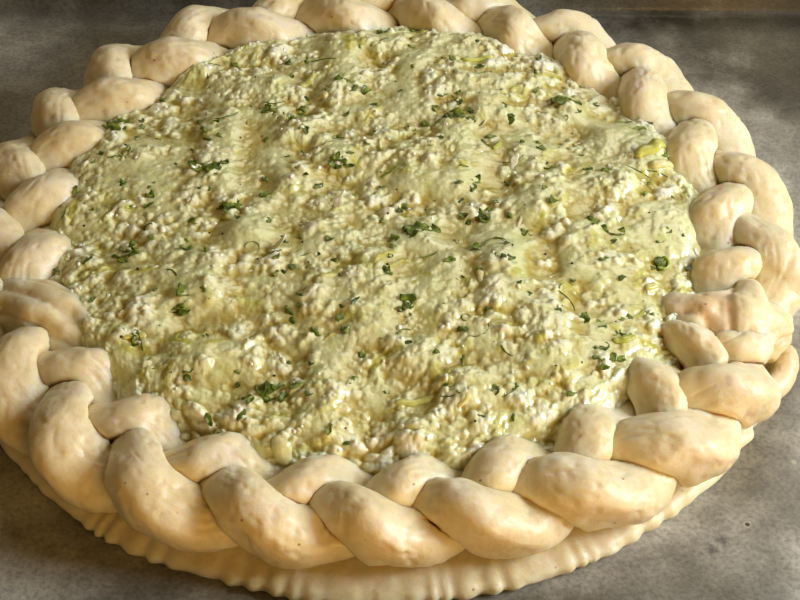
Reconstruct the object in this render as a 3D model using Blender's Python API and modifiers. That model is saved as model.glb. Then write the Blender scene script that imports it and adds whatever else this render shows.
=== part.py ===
"""Raw zucchini tart in its oven tray.

A flat round of dough carries two three-strand dough braids, bent into half rings that meet in a
tucked end on the left and a pinched knot on the right. The braids hold in a domed, lumpy filling.
Metres, +Z up. The origin is the middle of the tray's underside.
"""

import math

import bmesh
import bpy
import numpy as np

MM = 0.001
GAP = 0.3 * MM

# Oven tray of enamelled sheet steel: outer size over the rim, and the shape of its wall.
TRAY_LENGTH = 465 * MM
TRAY_DEPTH = 375 * MM
TRAY_HEIGHT = 22 * MM
TRAY_SHEET = 1.2 * MM
TRAY_RIM = 7 * MM
TRAY_WALL_LEAN = 6 * MM
TRAY_CORNER_RADIUS = 26 * MM
TRAY_LIP_DROP = 4 * MM
TRAY_BEND_RADIUS = 3.5 * MM

# Dough base: a rolled round with a soft edge.
BASE_RADIUS = 155 * MM
BASE_THICKNESS = 7 * MM
BASE_EDGE_STEPS = 4
BASE_TURN_STEPS = 36

# Braided rim: the ring that the two braids follow, and the size of a strand in a cut across it.
RING_RADIUS = 131 * MM
RING_CENTRE = (1.4 * MM, 1.2 * MM)
RING_HEIGHT = 11.8 * MM
SWING = 11 * MM
RISE = 5.0 * MM
STRAND_HALF_WIDTH = 12 * MM
STRAND_HALF_HEIGHT = 7.6 * MM
REAR_GAIN = 0.24
SLUMP_POWER = 2.6
STRAND_SIDES = 8
STATIONS_PER_LOBE = 7
CREASE_SHARPNESS = 9.0
TOP_STRAND_SHARE = 0.05
STRAND_SLACK = 0.175
END_TAPER = math.radians(7)
END_PINCH = 0.72

# How the rim lies: ring angle, shift outwards in mm, width of its strands, and lean in degrees.
LAY = (
    (-180, 2.0, 1.00, 6), (-160, 3.0, 1.05, 0), (-141, 4.0, 1.12, -7), (-125, 4.0, 1.09, -8),
    (-110, 2.5, 0.95, -8), (-95, 0.0, 0.84, -8), (-80, 0.0, 0.85, -8), (-68, 1.0, 0.92, -8),
    (-55, 3.0, 1.06, -7), (-42, 4.0, 1.12, -4), (-27, 3.5, 1.06, 0), (-10, 3.0, 1.00, 4),
    (10, 3.0, 0.97, 10), (40, 3.5, 0.97, 14), (90, 3.5, 0.97, 14), (140, 3.5, 0.97, 12),
    (160, 3.0, 0.97, 8), (180, 2.0, 1.00, 6),
)
LAY_BLUR = 8

# Middles of the lobes on the braids' outer side, in degrees round the ring, in plaiting order.
FRONT_LOBES = (-161, -147, -133.5, -119.5, -104, -90, -76.5, -61.5, -46.5, -34, -23)
REAR_LOBES = (197, 182, 167, 153, 139, 122, 105, 88, 71, 56, 41, 25, 8, -7, -21)
FRONT_SPAN = (-154.0, -27.0)
REAR_SPAN = (197.0, -13.0)

# Joins: the angles that each fills between the braids, and the low dome that is its section.
LEFT_JOIN = (-162.4, -154.6)
RIGHT_JOIN = (-26.4, -13.6)
JOIN_HALF_WIDTH = 17.5 * MM
JOIN_HALF_HEIGHT = 12.5 * MM
JOIN_SWELL = 0.18
JOIN_RIDGE = 0.05
JOIN_MARGIN = 2.0
JOIN_STEPS = 6
JOIN_SIDES = 12

# Filling: a shallow dome with a lumpy top.
FILLING_CLEARANCE = 1.6 * MM
FILLING_EDGE_HEIGHT = 22 * MM
FILLING_DOME = 7 * MM
FILLING_LUMPS = 1.6 * MM
FILLING_TURNS = 76
FILLING_RINGS = 5

TRAY_TOP = TRAY_SHEET
BASE_BOTTOM = TRAY_TOP + GAP
BASE_TOP = BASE_BOTTOM + BASE_THICKNESS
DOUGH_FLOOR = BASE_TOP + GAP


def clear_scene():
    """Empty the scene of objects."""
    for old in list(bpy.data.objects):
        bpy.data.objects.remove(old, do_unlink=True)


def make_material(name, colour, roughness, metallic=0.0):
    """A plain Principled material."""
    material = bpy.data.materials.new(name)
    material.use_nodes = True
    shader = material.node_tree.nodes["Principled BSDF"]
    shader.inputs["Base Color"].default_value = (*colour, 1.0)
    shader.inputs["Roughness"].default_value = roughness
    shader.inputs["Metallic"].default_value = metallic
    return material


def add_object(name, mesh, collection, material):
    """Put a mesh into the collection as a named object with one material."""
    mesh.materials.append(material)
    piece = bpy.data.objects.new(name, mesh)
    collection.objects.link(piece)
    return piece


def closed_loft(name, rings):
    """A closed mesh through equal rings of points, with a fan on a middle point at either end."""
    count, sides = rings.shape[:2]
    verts = [tuple(point) for point in rings.reshape(-1, 3)]
    verts += [tuple(rings[0].mean(axis=0)), tuple(rings[-1].mean(axis=0))]
    first_cap = count * sides
    last_cap = first_cap + 1
    faces = []
    for i in range(count - 1):
        for j in range(sides):
            k = (j + 1) % sides
            faces.append((i * sides + j, i * sides + k, (i + 1) * sides + k, (i + 1) * sides + j))
    last = (count - 1) * sides
    for j in range(sides):
        k = (j + 1) % sides
        faces.append((first_cap, k, j))
        faces.append((last_cap, last + j, last + k))
    mesh = bpy.data.meshes.new(name)
    mesh.from_pydata(verts, [], faces)
    shape = bmesh.new()
    shape.from_mesh(mesh)
    bmesh.ops.recalc_face_normals(shape, faces=shape.faces)
    shape.to_mesh(mesh)
    shape.free()
    mesh.shade_smooth()
    return mesh


def outward(point, half_x, half_y):
    """Unit direction from a rounded corner's centre to a point of the tray's outline."""
    core_x = min(max(point.x, -half_x), half_x)
    core_y = min(max(point.y, -half_y), half_y)
    away = (point.x - core_x, point.y - core_y)
    length = math.hypot(*away)
    return away[0] / length, away[1] / length


def make_tray(collection, material):
    """A floor with round corners, its edge drawn up, out and down, then given its thickness."""
    inset = TRAY_RIM + TRAY_WALL_LEAN
    floor_x = TRAY_LENGTH / 2 - inset
    floor_y = TRAY_DEPTH / 2 - inset
    corner_x = floor_x - TRAY_CORNER_RADIUS
    corner_y = floor_y - TRAY_CORNER_RADIUS
    shape = bmesh.new()
    bmesh.ops.create_grid(shape, x_segments=1, y_segments=1, size=1)
    for vert in shape.verts:
        vert.co.x *= floor_x
        vert.co.y *= floor_y
        vert.co.z = TRAY_TOP
    bmesh.ops.bevel(
        shape, geom=list(shape.verts), offset=TRAY_CORNER_RADIUS, segments=4, profile=0.5,
        affect="VERTICES", offset_type="OFFSET",
    )
    edges = [edge for edge in shape.edges if edge.is_boundary]
    for out, up in ((TRAY_WALL_LEAN, TRAY_HEIGHT - TRAY_SHEET), (TRAY_RIM, 0), (0, -TRAY_LIP_DROP)):
        drawn = bmesh.ops.extrude_edge_only(shape, edges=edges)["geom"]
        for vert in (item for item in drawn if isinstance(item, bmesh.types.BMVert)):
            side = outward(vert.co, corner_x, corner_y)
            vert.co.x += side[0] * out
            vert.co.y += side[1] * out
            vert.co.z += up
        edges = [item for item in drawn if isinstance(item, bmesh.types.BMEdge) and item.is_boundary]
    bmesh.ops.recalc_face_normals(shape, faces=shape.faces)
    mesh = bpy.data.meshes.new("tray")
    shape.to_mesh(mesh)
    shape.free()
    tray = add_object("tray", mesh, collection, material)
    bend = tray.modifiers.new("bends", "BEVEL")
    bend.width = TRAY_BEND_RADIUS
    bend.segments = 2
    bend.limit_method = "ANGLE"
    bend.angle_limit = math.radians(35)
    sheet = tray.modifiers.new("sheet", "SOLIDIFY")
    sheet.thickness = TRAY_SHEET
    sheet.offset = -1
    sheet.use_even_offset = True
    return tray


def make_base(collection, material):
    """A flat round of dough, turned from a profile that runs down its soft outer edge."""
    half = BASE_THICKNESS / 2
    profile = [(0.0, BASE_TOP)]
    for step in range(BASE_EDGE_STEPS + 1):
        angle = math.pi / 2 - math.pi * step / BASE_EDGE_STEPS
        radius = BASE_RADIUS - half + half * math.cos(angle)
        profile.append((radius, BASE_TOP - half + half * math.sin(angle)))
    profile.append((0.0, BASE_BOTTOM))
    mesh = bpy.data.meshes.new("dough_base")
    mesh.from_pydata([(x, 0.0, z) for x, z in profile], [(i, i + 1) for i in range(len(profile) - 1)], [])
    base = add_object("dough_base", mesh, collection, material)
    turn = base.modifiers.new("turn", "SCREW")
    turn.steps = BASE_TURN_STEPS
    turn.render_steps = BASE_TURN_STEPS
    turn.use_merge_vertices = True
    turn.merge_threshold = 0.0001
    return base


def lobes_passed(angle, lobes):
    """How many outer lobes lie before a ring angle, evened out over a few degrees."""
    way = 1 if lobes[-1] > lobes[0] else -1
    nudges = math.radians(3) * np.linspace(-1, 1, 5)
    counts = [np.interp(way * np.degrees(angle + nudge), way * np.array(lobes), range(len(lobes)))
              for nudge in nudges]
    return np.mean(counts, axis=0)


def lay_at(angle):
    """Outward shift, strand width and lean of the rim, evened out over a few degrees."""
    table = np.array(LAY, float).T
    degrees = np.degrees(angle)[..., None] + np.linspace(-LAY_BLUR, LAY_BLUR, 9)
    degrees = (degrees + 180) % 360 - 180
    shift, width, lean = (np.interp(degrees, table[0], column).mean(axis=-1) for column in table[1:])
    return shift * MM, width, np.radians(lean)


def braid_stations(lobes, span):
    """Ring angles from one end of a braid to the other, equally many to each lobe."""
    first, last = lobes_passed(np.radians(span), lobes)
    count = np.linspace(first, last, 1 + round((last - first) * STATIONS_PER_LOBE))
    angle = np.radians(np.interp(count, range(len(lobes)), lobes))
    angle[[0, -1]] = np.radians(span)
    return angle


def strand_sections(angle, lobes, span):
    """Cuts through a braid's three strands at ring angles, as (strand, station, side, x-z).

    A strand swings in and out as the sine of its phase and rises and falls as the sine of twice
    that, and the lean tips the whole cut. Its outline is the soft least of its own ellipse, slumped
    below the middle, of the bisectors towards the other two strands, and of the dough below.
    """
    phase = (lobes_passed(angle, lobes) + 0.5) * 2 * math.pi / 3
    start, end = np.radians(span)
    to_end = np.minimum(np.abs(angle - start), np.abs(angle - end))
    open_up = np.clip(to_end / END_TAPER, 0, 1)
    pinch = END_PINCH + (1 - END_PINCH) * open_up * open_up * (3 - 2 * open_up)
    _, wide, lean = lay_at(angle)
    swing = SWING * pinch * wide
    own_phase = phase[None, :] + 2 * math.pi / 3 * np.arange(3)[:, None]
    tall = 1 + REAR_GAIN * (1 + np.sin(angle)) / 2
    centre = np.stack([swing * np.sin(own_phase), RISE * tall * pinch * np.sin(2 * own_phase)], -1)
    centre[..., 1] += RING_HEIGHT * tall * (0.5 + 0.5 * pinch) - centre[..., 0] * np.sin(lean)
    turn = 2 * math.pi * np.arange(STRAND_SIDES) / STRAND_SIDES
    ray = np.stack([np.cos(turn), np.sin(turn)], -1)
    half_width = STRAND_HALF_WIDTH * pinch * wide
    half_height = STRAND_HALF_HEIGHT * tall * pinch
    across = np.abs(ray[:, 0]) / half_width[:, None]
    above = 1 / np.hypot(across, ray[:, 1] / half_height[:, None])
    outlines = []
    for k in range(3):
        depth = np.maximum(half_height, centre[k][:, 1])[:, None]
        slumped = (across ** SLUMP_POWER + np.abs(ray[:, 1] / depth) ** SLUMP_POWER) ** (-1 / SLUMP_POWER)
        closeness = np.where(ray[:, 1] < 0, slumped, above) ** -CREASE_SHARPNESS
        for other in ((k + 1) % 3, (k + 2) % 3):
            apart = centre[other] - centre[k]
            distance = np.linalg.norm(apart, axis=-1)
            share = distance * (0.5 - STRAND_SLACK) - TOP_STRAND_SHARE * apart[:, 1]
            facing = np.clip(apart @ ray.T / distance[:, None], 1e-3, None)
            closeness += (share[:, None] / facing) ** -CREASE_SHARPNESS
        down = np.clip(-ray[:, 1], 1e-3, None)
        closeness += (centre[k][:, 1][:, None] / down[None, :]) ** -CREASE_SHARPNESS
        reach = closeness ** (-1 / CREASE_SHARPNESS)
        outlines.append(centre[k][:, None, :] + reach[..., None] * ray[None, :, :])
    return np.array(outlines)


def on_ring(angle, section):
    """World points of x-z sections that stand across the ring at the given angles."""
    radius = RING_RADIUS + lay_at(angle)[0][:, None] + section[..., 0]
    x = RING_CENTRE[0] + radius * np.cos(angle)[:, None]
    y = RING_CENTRE[1] + radius * np.sin(angle)[:, None]
    return np.stack([x, y, DOUGH_FLOOR + section[..., 1]], -1)


def make_braid(prefix, lobes, span, collection, material):
    """Three strands of one braid, each a closed solid."""
    angle = braid_stations(lobes, span)
    for letter, section in zip("abc", strand_sections(angle, lobes, span)):
        name = f"{prefix}_strand_{letter}"
        add_object(name, closed_loft(name, on_ring(angle, section)), collection, material)


def join_section(along, ridges):
    """Cuts through a join: a low dome on a flat foot, swollen midway and ridged lengthwise."""
    turn = 2 * math.pi * np.arange(JOIN_SIDES) / JOIN_SIDES
    size = 1 + JOIN_SWELL * np.sin(math.pi * along)[:, None]
    ridge = 1 + JOIN_RIDGE * np.cos(ridges * turn)
    x = JOIN_HALF_WIDTH * size * ridge * np.cos(turn)
    z = JOIN_HALF_HEIGHT * size * ridge * np.sin(turn)
    return np.stack([x, np.maximum(JOIN_HALF_HEIGHT + z, 0)], -1)


def make_join(name, span, ridges, collection, material):
    """One solid that fills the ring between the ends of the two braids."""
    along = np.linspace(0, 1, JOIN_STEPS)
    angle = np.radians(span[0] + (span[1] - span[0]) * along)
    rings = on_ring(angle, join_section(along, ridges))
    add_object(name, closed_loft(name, rings), collection, material)


def inner_edge(angle):
    """Least radius that the rim reaches at ring angles, from the ring's centre."""
    ring_angle = np.degrees(angle)
    behind = np.where(ring_angle < REAR_SPAN[1], ring_angle + 360, ring_angle)
    front = strand_sections(np.radians(ring_angle), FRONT_LOBES, FRONT_SPAN)[..., 0].min(axis=(0, 2))
    rear = strand_sections(np.radians(behind), REAR_LOBES, REAR_SPAN)[..., 0].min(axis=(0, 2))
    in_front = (ring_angle > FRONT_SPAN[0]) & (ring_angle < FRONT_SPAN[1])
    least = np.where(in_front, front, rear)
    for start, end in (LEFT_JOIN, RIGHT_JOIN):
        at_join = (ring_angle > start - JOIN_MARGIN) & (ring_angle < end + JOIN_MARGIN)
        least[at_join] = -JOIN_HALF_WIDTH * (1 + JOIN_SWELL) * (1 + JOIN_RIDGE)
    return RING_RADIUS + lay_at(angle)[0] + least


def lumps(x, y):
    """Height of the filling's lumps: waves of a few lengths laid across each other."""
    height = np.zeros_like(x)
    for wave, length in enumerate((31 * MM, 23 * MM, 17 * MM)):
        heading = 0.7 + 1.9 * wave
        turned = x * math.cos(heading) + y * math.sin(heading)
        across = y * math.cos(heading) - x * math.sin(heading)
        height += np.sin(2 * math.pi * turned / length) * np.cos(2 * math.pi * across / (1.3 * length))
    return FILLING_LUMPS * height / 2


def make_filling(collection, material):
    """The filling: a foot that follows the rim's inner side, and a lumpy dome."""
    angle = np.linspace(-math.pi, math.pi, FILLING_TURNS, endpoint=False)
    edge = inner_edge(angle) - FILLING_CLEARANCE
    rings = []
    for radius_share in np.linspace(1, 0.04, FILLING_RINGS):
        radius = edge * radius_share
        x = RING_CENTRE[0] + radius * np.cos(angle)
        y = RING_CENTRE[1] + radius * np.sin(angle)
        dome = FILLING_EDGE_HEIGHT + FILLING_DOME * (1 - radius_share ** 4)
        rings.append(np.stack([x, y, DOUGH_FLOOR + dome + lumps(x, y)], -1))
    foot = rings[0].copy()
    foot[:, 2] = DOUGH_FLOOR
    mesh = closed_loft("filling", np.array([foot] + rings))
    return add_object("filling", mesh, collection, material)


clear_scene()
tart = bpy.data.collections.new("zucchini_tart")
bpy.context.scene.collection.children.link(tart)
enamel = make_material("tray_enamel", (0.16, 0.145, 0.12), 0.5, 0.2)
dough = make_material("raw_dough", (0.74, 0.62, 0.38), 0.5)
cream = make_material("cheese_and_zucchini", (0.60, 0.55, 0.29), 0.35)
make_tray(tart, enamel)
make_base(tart, dough)
make_filling(tart, cream)
make_braid("front", FRONT_LOBES, FRONT_SPAN, tart, dough)
make_braid("rear", REAR_LOBES, REAR_SPAN, tart, dough)
make_join("braid_end_left", LEFT_JOIN, 3, tart, dough)
make_join("braid_end_right", RIGHT_JOIN, 5, tart, dough)
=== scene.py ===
import itertools
import math

import bpy
import numpy as np
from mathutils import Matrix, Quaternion, Vector


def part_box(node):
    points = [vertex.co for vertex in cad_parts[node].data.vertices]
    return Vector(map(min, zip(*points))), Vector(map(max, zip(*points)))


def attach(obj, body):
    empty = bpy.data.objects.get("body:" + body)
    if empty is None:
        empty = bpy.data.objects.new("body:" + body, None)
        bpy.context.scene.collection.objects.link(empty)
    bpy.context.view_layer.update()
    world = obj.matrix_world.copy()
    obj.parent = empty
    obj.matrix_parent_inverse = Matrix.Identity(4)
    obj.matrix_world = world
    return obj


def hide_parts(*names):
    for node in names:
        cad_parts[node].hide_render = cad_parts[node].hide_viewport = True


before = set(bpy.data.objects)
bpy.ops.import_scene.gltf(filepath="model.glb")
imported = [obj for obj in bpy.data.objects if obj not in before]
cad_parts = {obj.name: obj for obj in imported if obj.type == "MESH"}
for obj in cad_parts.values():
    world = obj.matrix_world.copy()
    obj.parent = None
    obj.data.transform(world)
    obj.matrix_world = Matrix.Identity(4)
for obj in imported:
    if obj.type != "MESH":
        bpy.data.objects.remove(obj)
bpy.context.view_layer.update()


# ---- Oven tray -------------------------------------------------------------------------------
# A shallow oven tray, pressed from sheet steel and enamelled grey. Its walls lean out to a flat
# rim, which is turned down at the outer edge. Baking has clouded the enamel and pitted it.
MM = 0.001
TRAY_SHEET = 1.2 * MM
TRAY_WALL_LEAN = 6 * MM
TRAY_RIM = 7 * MM
TRAY_LIP_DROP = 4 * MM
TRAY_CORNER = 26 * MM
TRAY_BEND = 3.5 * MM
TRAY_BEND_STEPS = 9
TRAY_FLOOR_ROWS = 20
TRAY_HUB_SHARE = 0.02
TRAY_CORNER_STEPS = 14
TRAY_SIDE_STEPS = 40
WHITE = "#FFFFFF"
MULTIPLY = {"data_type": "RGBA", "blend_type": "MULTIPLY"}


def linear(colour):
    """Linear RGBA of an sRGB hex colour, each channel by the sRGB curve."""
    channel = np.array([int(colour[i:i + 2], 16) for i in (1, 3, 5)]) / 255
    curved = ((channel + 0.055) / 1.055) ** 2.4
    return (*np.where(channel <= 0.04045, channel / 12.92, curved), 1.0)


def new_material(name, **sockets):
    """A Principled material with constant values set on the shader's own sockets."""
    material = bpy.data.materials.new(name)
    material.use_nodes = True
    shader = material.node_tree.nodes["Principled BSDF"]
    for socket, value in sockets.items():
        shader.inputs[socket.replace("_", " ")].default_value = value
    return material, shader


def add_node(material, kind, settings, **links):
    """Add a node, set its properties, sockets and ramp stops by name, and link its inputs."""
    node = material.node_tree.nodes.new("ShaderNode" + kind)
    for name, value in settings.items():
        if name == "stops":
            ramp = node.color_ramp.elements
            stops = [(at, linear(colour) if isinstance(colour, str) else colour)
                     for at, colour in value]
            ramp[0].position, ramp[0].color = stops[0]
            ramp[1].position, ramp[1].color = stops[-1]
            for at, colour in stops[1:-1]:
                ramp.new(at).color = colour
        elif isinstance(name, str) and hasattr(node, name):
            setattr(node, name, value)
        else:
            node.inputs[name].default_value = value
    for name, socket in links.items():
        key = int(name[1:]) if name[0] == "_" else name.replace("_", " ")
        material.node_tree.links.new(socket, node.inputs[key])
    return node


def feed(shader, **sockets):
    """Link nodes' outputs to the shader's sockets by name."""
    for name, socket in sockets.items():
        shader.id_data.links.new(socket, shader.inputs[name.replace("_", " ")])


def layered_colour(material, driver, stops, layers=()):
    """A colour from a driver's ramp, multiplied in turn by the colours of other ramps.

    Each layer is its own driver, the stops of its ramp and its strength.
    """
    tone = add_node(material, "ValToRGB", {"stops": stops}, Fac=driver).outputs["Color"]
    for driver, stops, amount in layers:
        layer = add_node(material, "ValToRGB", {"stops": stops}, Fac=driver).outputs["Color"]
        tone = add_node(material, "Mix", {**MULTIPLY, 0: amount}, _6=tone, _7=layer).outputs[2]
    return tone


def stacked(*parts):
    """Arrays or numbers brought to one shape and stacked along a new last axis."""
    return np.stack(np.broadcast_arrays(*parts), -1)


def wrapped(rings):
    """Points and faces of closed bodies, from rings of points as (body, ring, point, x-y-z).

    Quads join each ring to the next and wrap round it. A fan on the ring's middle closes each end.
    """
    rings = rings.reshape(-1, *rings.shape[-3:])
    bodies, count, sides = rings.shape[:3]
    ends = rings[:, [0, -1]].mean(axis=2)
    points = np.concatenate([rings.reshape(bodies, -1, 3), ends], axis=1)
    index = np.arange(count * sides).reshape(count, sides)
    beside = np.roll(index, -1, axis=1)
    quads = stacked(index[:-1], beside[:-1], beside[1:], index[1:]).reshape(-1, 4)
    fans = np.concatenate([stacked(count * sides, beside[0], index[0]),
                           stacked(count * sides + 1, index[-1], beside[-1])])
    step = (np.arange(bodies) * points.shape[1])[:, None, None]
    return points.reshape(-1, 3), [(quads + step).reshape(-1, 4), (fans + step).reshape(-1, 3)]


def add_piece(name, points, faces, material, slot, replaced=(), marks=None, smooth_blocks=9):
    """A smooth mesh piece on the root body from arrays of points and faces, turned to face out.

    The volume is the sum of each face's first corner dotted with the cross product of its next
    two. Where that is negative, every face is turned over. A mark is one value for the whole
    piece, or a value for each point, with nought for any points past the last value.
    """
    volume = sum(np.sum(points[block[:, 0]] * np.cross(points[block[:, 1]], points[block[:, 2]]))
                 for block in faces)
    if volume < 0:
        faces = [block[:, ::-1] for block in faces]
    mesh = bpy.data.meshes.new(name)
    mesh.vertices.add(len(points))
    mesh.vertices.foreach_set("co", points.ravel())
    corners = np.concatenate([block.ravel() for block in faces])
    sizes = np.concatenate([np.full(len(block), block.shape[1]) for block in faces])
    mesh.loops.add(len(corners))
    mesh.loops.foreach_set("vertex_index", corners)
    mesh.polygons.add(len(sizes))
    mesh.polygons.foreach_set("loop_start", np.concatenate([[0], np.cumsum(sizes)[:-1]]))
    mesh.update(calc_edges=True)
    smooth = np.concatenate([np.full(len(block), k < smooth_blocks) for k, block in enumerate(faces)])
    mesh.polygons.foreach_set("use_smooth", smooth)
    for mark, values in (marks or {}).items():
        values = np.full(len(points), values, float) if np.isscalar(values) else np.ravel(values)
        values = np.append(values, np.zeros(len(points) - len(values)))
        mesh.attributes.new(mark, "FLOAT", "POINT").data.foreach_set("value", values)
    mesh.materials.append(material)
    piece = bpy.data.objects.new(name, mesh)
    bpy.context.scene.collection.objects.link(piece)
    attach(piece, "root")
    if replaced:
        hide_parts(*replaced)


def bent_line(corners, radius, steps):
    """A line through corners, each rounded by a quadratic curve between its tangent points."""
    corners = np.array(corners)
    share = np.linspace(0, 1, steps)[:, None]
    parts = [corners[:1]]
    for before, corner, after in zip(corners[:-2], corners[1:-1], corners[2:]):
        enter = corner + (before - corner) / np.linalg.norm(before - corner) * radius
        leave = corner + (after - corner) / np.linalg.norm(after - corner) * radius
        parts.append((1 - share) ** 2 * enter + 2 * share * (1 - share) * corner + share ** 2 * leave)
    return np.concatenate(parts + [corners[-1:]])


def rounded_outline(half_x, half_y):
    """Core points and outward directions round a rectangle with round corners.

    At a corner the core stands still while the direction makes a quarter turn. Along a side the
    direction stays while the core moves on to the next corner.
    """
    core, heading = [], []
    signs = ((1, 1), (-1, 1), (-1, -1), (1, -1))
    for quarter in range(4):
        here = np.array(signs[quarter]) * (half_x, half_y)
        after = np.array(signs[(quarter + 1) % 4]) * (half_x, half_y)
        turn = math.pi / 2 * (quarter + np.linspace(0, 1, TRAY_CORNER_STEPS, endpoint=False))
        along = np.linspace(0, 1, TRAY_SIDE_STEPS, endpoint=False)[:, None]
        core += [np.tile(here, (TRAY_CORNER_STEPS, 1)), here + (after - here) * along]
        heading += [turn, np.full(TRAY_SIDE_STEPS, math.pi / 2 * (quarter + 1))]
    heading = np.concatenate(heading)
    return np.concatenate(core), stacked(np.cos(heading), np.sin(heading))


tray_low, tray_high = (np.array(corner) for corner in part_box("tray"))
tray_half = (tray_high - tray_low)[:2] / 2
tray_top = tray_high[2]
floor_half = tray_half - TRAY_RIM - TRAY_WALL_LEAN
outline_core, outline_way = rounded_outline(*(floor_half - TRAY_CORNER))
upper = bent_line(
    ((-4 * TRAY_BEND, TRAY_SHEET), (0, TRAY_SHEET), (TRAY_WALL_LEAN, tray_top),
     (TRAY_WALL_LEAN + TRAY_RIM, tray_top), (TRAY_WALL_LEAN + TRAY_RIM, tray_top - TRAY_LIP_DROP)),
    TRAY_BEND, TRAY_BEND_STEPS,
)
slope = np.gradient(upper, axis=0)
slope /= np.linalg.norm(slope, axis=1)[:, None]
lower = upper + stacked(slope[:, 1], -slope[:, 0]) * TRAY_SHEET
edge = np.concatenate([upper, lower[::-1]])
walls = outline_core + outline_way * (TRAY_CORNER + edge[:, :1, None])
walls = stacked(walls[..., 0], walls[..., 1], edge[:, 1:])
shrink = np.linspace(TRAY_HUB_SHARE, 1, TRAY_FLOOR_ROWS, endpoint=False)
shrink = shrink[:, None, None] * (1, 1, 0) + (0, 0, 1)
tray_rings = np.concatenate([walls[0] * shrink, walls, walls[-1] * shrink[::-1]])

# Vitreous enamel, fired, then dulled by baking: semi-gloss grey, with clouds of burnt fat 45 mm
# across and grit of 1.6 mm. Blisters 26 mm apart have a dark pit 2 mm across and a pale lip. The
# grey is darker towards the rear right corner, two spots are scorched, and painted shade darkens
# the front and rear edges.
BURNT_TINT = (0.45, 0.42, 0.34, 1)
GRIT_TINTS = (0.55, 0.55, 0.55, 1), (0.95, 0.95, 0.95, 1), (1.35, 1.33, 1.25, 1)
PIT_TINT, LIP_TINT = (0.10, 0.10, 0.09, 1), (1.7, 1.7, 1.6, 1)
WALL_SHADE_TINT = (0.50, 0.48, 0.44, 1)
DARKER_CORNER = (188 * MM, 168 * MM, 0)
SCORCHED = (((115.3, -125.8, 1.2), 2.2), ((111.5, -129.9, 1.2), 1.2))  # place and radius, mm
enamel, enamel_shader = new_material("worn_grey_enamel", Roughness=0.42, IOR=1.5)
place = add_node(enamel, "TexCoord", {}).outputs["Object"]
cloud, stain, grit = (
    add_node(enamel, "TexNoise", {"Scale": 1 / size, **look}, Vector=place).outputs["Fac"]
    for size, look in ((45 * MM, {"Detail": 6, "Roughness": 0.62}),
                       (110 * MM, {"Detail": 4, "Distortion": 0.6}),
                       (1.6 * MM, {"Detail": 3, "Roughness": 0.7}))
)
blister = add_node(enamel, "TexVoronoi", {"Scale": 1 / (26 * MM), "Randomness": 1.0}, Vector=place)
# The grey is darker within about a tenth of a metre of the rear right corner, with an edge broken by
# the clouds.
corner = add_node(enamel, "VectorMath", {"operation": "DISTANCE", 1: DARKER_CORNER}, _0=place)
uneven = add_node(enamel, "Math", {"operation": "MULTIPLY_ADD", 1: 0.10}, _0=cloud,
                  _2=corner.outputs["Value"])
across = add_node(enamel, "SeparateXYZ", {}, Vector=place)
wall_shade_reach = add_node(enamel, "Math", {"operation": "ABSOLUTE"}, _0=across.outputs["Y"])
layers = [  # what drives a layer of dirt, darkening or painted shade, its ramp, and how strongly it multiplies the grey
    (stain, ((0.36, BURNT_TINT), (0.52, WHITE)), 0.8),
    (grit, tuple(zip((0.33, 0.5, 0.72), GRIT_TINTS)), 0.75),
    (blister.outputs["Distance"], ((0.032, PIT_TINT), (0.045, LIP_TINT), (0.062, WHITE)), 1.0),
    (uneven.outputs["Value"], ((0.095, "#8F8875"), (0.125, WHITE)), 1.0),
]
for spot, size in SCORCHED:
    away = add_node(enamel, "VectorMath", {"operation": "DISTANCE", 1: np.array(spot) * MM}, _0=place)
    ragged = add_node(enamel, "Math", {"operation": "MULTIPLY_ADD", 1: 2 * MM}, _0=grit,
                      _2=away.outputs["Value"])
    layers.append((ragged.outputs["Value"],
                   (((size + 1.0) * MM, "#3A3935"), ((size + 1.6) * MM, WHITE)), 1.0))
# Painted shade: the grey darkens towards the front and rear walls, from 160 mm to 176 mm off the middle
# line.
layers.append((wall_shade_reach.outputs["Value"], ((160 * MM, WHITE), (176 * MM, WALL_SHADE_TINT)), 1.0))
tone = layered_colour(enamel, cloud, ((0.30, "#69665D"), (0.48, "#949185"), (0.62, "#B9B6A9")), layers)
sheen = add_node(enamel, "MapRange", {"From Min": 0.35, "From Max": 0.6, "To Min": 0.28, "To Max": 0.5},
                 Value=stain)
rough = add_node(enamel, "Bump", {"Strength": 0.35, "Distance": 0.4 * MM}, Height=grit)
feed(enamel_shader, Base_Color=tone, Roughness=sheen.outputs["Result"], Normal=rough.outputs["Normal"])
add_piece("enamelled_tray", *wrapped(tray_rings), enamel, "tray_enamel", ["tray"])


# ---- Dough base ------------------------------------------------------------------------------
# A round of yeast dough, rolled out by hand and laid on the tray. Its edge is soft and uneven,
# pressed in every few millimetres by a fingertip.
BASE_HUB = 2 * MM
BASE_MIDDLE = 50 * MM
BASE_TOP_FROM = 96 * MM
BASE_UNDER = np.array([140, 110, 50, 2]) * MM
BASE_TOP_ROWS = 52
BASE_BOW_ROWS = 22
BASE_COLUMNS = 880
BASE_WANDER = ((46 * MM, 1.6 * MM, 11), (17 * MM, 0.7 * MM, 12))  # size, height and seed
EDGE_FROM = 120 * MM
EDGE_PRESS_PITCH = 8.7 * MM
EDGE_PRESS_DEPTH = 1.5 * MM
EDGE_THINNED = 2.4 * MM
DENT_FROM, DENT_OVER = 142 * MM, 10 * MM
THIN_FROM, THIN_OVER = 140 * MM, 15 * MM
NOISE_CELLS = 48
NOISE_SHIFT = 1000  # cells, so that a cell's number is never below nought
BUBBLE_SIZE, BUBBLE_DEPTH = 2.4 * MM, 0.38 * MM
WRINKLE_PITCH, WRINKLE_DEPTH, WRINKLED_PATCH = 8 * MM, 0.42 * MM, 11 * MM


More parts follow.
